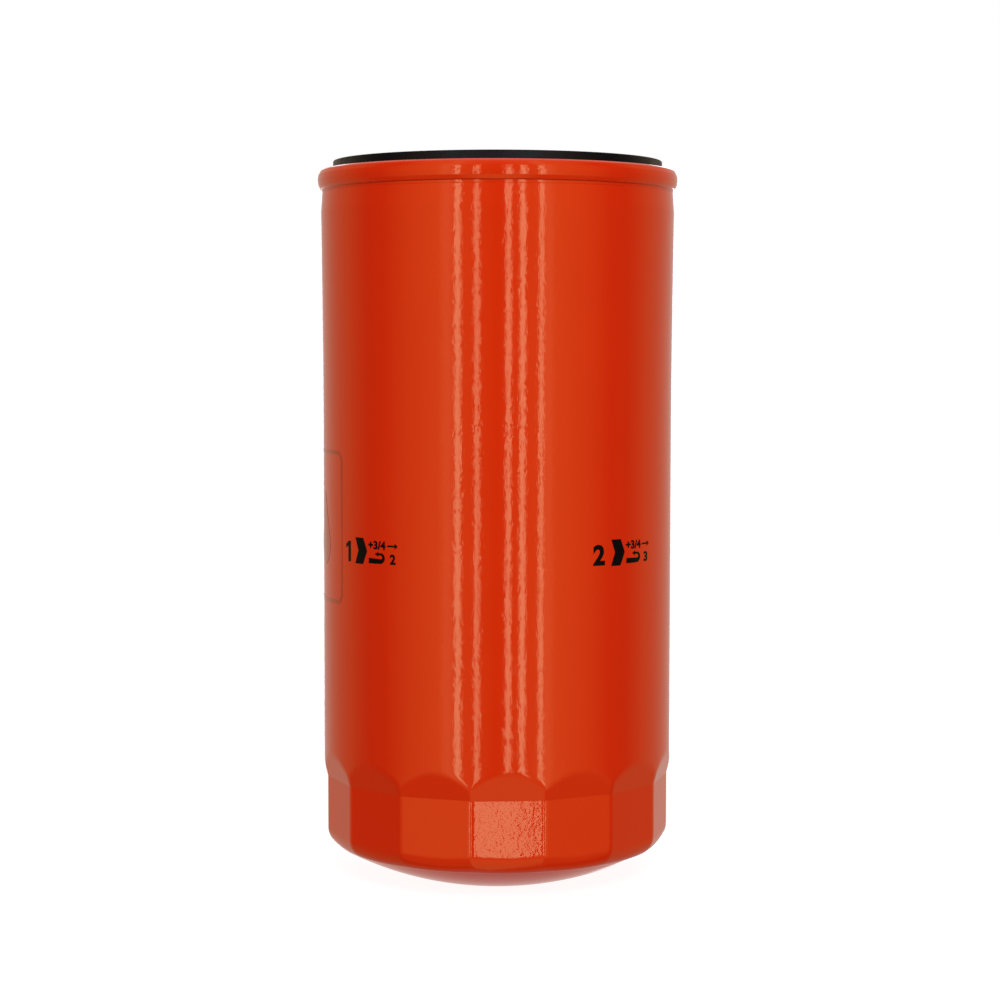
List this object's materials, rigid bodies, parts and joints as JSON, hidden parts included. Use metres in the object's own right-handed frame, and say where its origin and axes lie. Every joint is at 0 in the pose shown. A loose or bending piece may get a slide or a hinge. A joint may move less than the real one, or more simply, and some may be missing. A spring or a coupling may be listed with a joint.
{
  "type": "spin-on oil filter",
  "caption": "Tall spin-on oil filter: orange painted can with wrench flats and domed end, rolled seam, black gasket, threaded plate, pleated element, drain-back and bypass valves",
  "frame": {"origin": "centre of the flat foot under the dome, on the surface that the filter stands on", "axes": "+Z is the thread axis towards the open, threaded end; -Y is the side with a wrench flat turned 3.8 degrees towards +X; +X completes the right-handed frame"},
  "size_m": [0.0958, 0.0958, 0.1909],
  "materials": {
    "painted_can": "glossy baked enamel, light orange peel",
    "lid_steel": "same enamel on the outside of the seam, bright zinc inside it",
    "compound": "soft sealing compound",
    "gasket_rubber": "smooth black nitrile, faint oil sheen",
    "plate_steel": "stamped steel, zinc plated",
    "valve_silicone": "brick-red silicone, satin",
    "grommet_rubber": "black nitrile, satin",
    "cap_steel": "pressed tinplate",
    "adhesive": "cured potting adhesive",
    "filter_paper": "resin-cured pleated filter paper",
    "clip_steel": "crimped tinplate strip",
    "hot_melt": "hot-melt glue bead",
    "tube_steel": "perforated tinplate",
    "poppet_plastic": "glass-filled nylon",
    "spring_steel": "oiled spring wire"
  },
  "bodies": {
    "housing": {"can": "painted_can", "seaming_lid": "lid_steel", "seam_compound": "compound", "outer_gasket": "gasket_rubber", "tapping_plate": "plate_steel", "element_spring": "spring_steel"},
    "element": {"element_seal": "grommet_rubber", "element_top_cap": "cap_steel", "top_adhesive": "adhesive", "pleated_media": "filter_paper", "media_seam_clip": "clip_steel", "pleat_spacing_bands": "hot_melt", "centre_tube": "tube_steel", "bottom_adhesive": "adhesive", "element_bottom_cap": "cap_steel", "bypass_cage": "cap_steel", "bypass_spring": "spring_steel", "spring_retainer": "cap_steel"},
    "drainback_valve": {"anti_drainback_valve": "valve_silicone"},
    "bypass_valve": {"bypass_poppet": "poppet_plastic", "bypass_seal": "grommet_rubber"}
  },
  "joints": [
    {"name": "element_float", "type": "slide", "parent": "housing", "child": "element", "axis": [0, 0, 1], "range_m": [-0.003, 0], "stiffness_N_per_m": 5000, "springref_m": 0.006, "deforming": ["element_spring"]},
    {"name": "drainback_lift", "type": "slide", "parent": "housing", "child": "drainback_valve", "axis": [0, 0, 1], "range_m": [-0.0015, 0], "stiffness_N_per_m": 300, "springref_m": 0.001},
    {"name": "bypass_lift", "type": "slide", "parent": "element", "child": "bypass_valve", "axis": [0, 0, 1], "range_m": [0, 0.0035], "stiffness_N_per_m": 3000, "springref_m": -0.0095, "deforming": ["bypass_spring"]}
  ]
}
